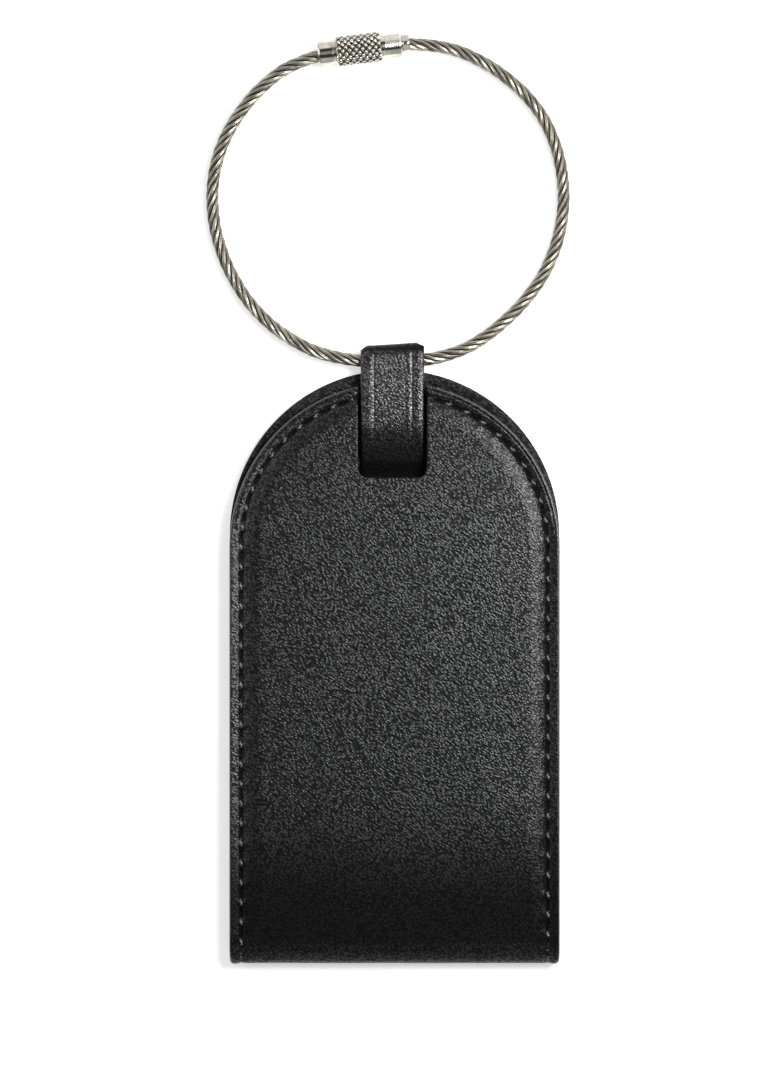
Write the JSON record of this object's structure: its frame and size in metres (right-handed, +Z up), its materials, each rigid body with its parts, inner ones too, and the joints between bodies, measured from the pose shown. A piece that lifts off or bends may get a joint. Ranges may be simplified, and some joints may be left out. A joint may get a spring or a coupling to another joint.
{
  "type": "luggage tag",
  "caption": "Arch-topped leather luggage tag that folds open at its bottom edge, with an address pocket, a strap loop and a wire-rope ring closed by a knurled screw clasp.",
  "frame": {"origin": "on the surface that the tag lies on, under the middle of the leather body with its strap", "axes": "+X to the tag's right, +Y towards the ring, +Z up out of the flap's face"},
  "size_m": [0.0686, 0.1754, 0.006],
  "materials": {
    "outer_leather": "satin pebbled",
    "lining_leather": "matte smooth",
    "strap_leather": "satin smooth",
    "stiffener_board": "matte",
    "magnet_plating": "plated",
    "thread": "waxed",
    "clear_film": "clear gloss",
    "card_paper": "matte",
    "rope_steel": "bright drawn wire",
    "ferrule_metal": "crimped",
    "clasp_nickel": "polished nickel"
  },
  "bodies": {
    "back": {"back_outer_leather": "outer_leather", "back_lining": "lining_leather", "back_stiffener": "stiffener_board", "back_magnets": "magnet_plating", "back_stitching": "thread", "card_window": "clear_film", "window_stitching": "thread", "strap_loop": "strap_leather", "strap_stitching": "thread"},
    "card": {"address_card": "card_paper"},
    "spine": {"fold_outer_leather": "outer_leather", "fold_lining": "lining_leather", "fold_stitching": "thread"},
    "flap": {"front_outer_leather": "outer_leather", "front_lining": "lining_leather", "front_stiffener": "stiffener_board", "front_magnets": "magnet_plating", "front_stitching": "thread"},
    "ring": {"wire_rope": "rope_steel", "clasp_ferrule": "ferrule_metal"},
    "barrel": {"clasp_barrel": "clasp_nickel"},
    "stud": {"threaded_stud": "clasp_nickel"}
  },
  "joints": [
    {"name": "lower_fold", "type": "hinge", "parent": "back", "child": "spine", "pos_m": [0, -0.05716, 0.00104], "axis": [1, 0, 0], "range_deg": [0, 90], "deforming": ["fold_outer_leather", "fold_lining", "fold_stitching"]},
    {"name": "upper_fold", "type": "hinge", "parent": "spine", "child": "flap", "pos_m": [0, -0.05716, 0.00496], "axis": [1, 0, 0], "range_deg": [0, 90]},
    {"name": "card_slide", "type": "slide", "parent": "back", "child": "card", "axis": [1, 0, 0], "range_m": [0, 0.045]},
    {"name": "ring_swing", "type": "hinge", "parent": "back", "child": "ring", "pos_m": [-0.0004, 0.0549, 0.003], "axis": [1, 0, 0], "range_deg": [-160, 160]},
    {"name": "barrel_spin", "type": "hinge", "parent": "ring", "child": "barrel", "pos_m": [-0.00585, 0.11383, 0.00295], "axis": [-0.9925, -0.1219, 0], "range_deg": [0, 2880]},
    {"name": "stud_slide", "type": "slide", "parent": "ring", "child": "stud", "axis": [0.9925, 0.1219, 0], "range_m": [0, 0.0056], "deforming": ["wire_rope"]}
  ],
  "couplings": [
    {"joint": "upper_fold", "follows": "lower_fold", "ratio": 1},
    {"joint": "barrel_spin", "follows": "stud_slide", "rad_per_m": 8975.1}
  ]
}
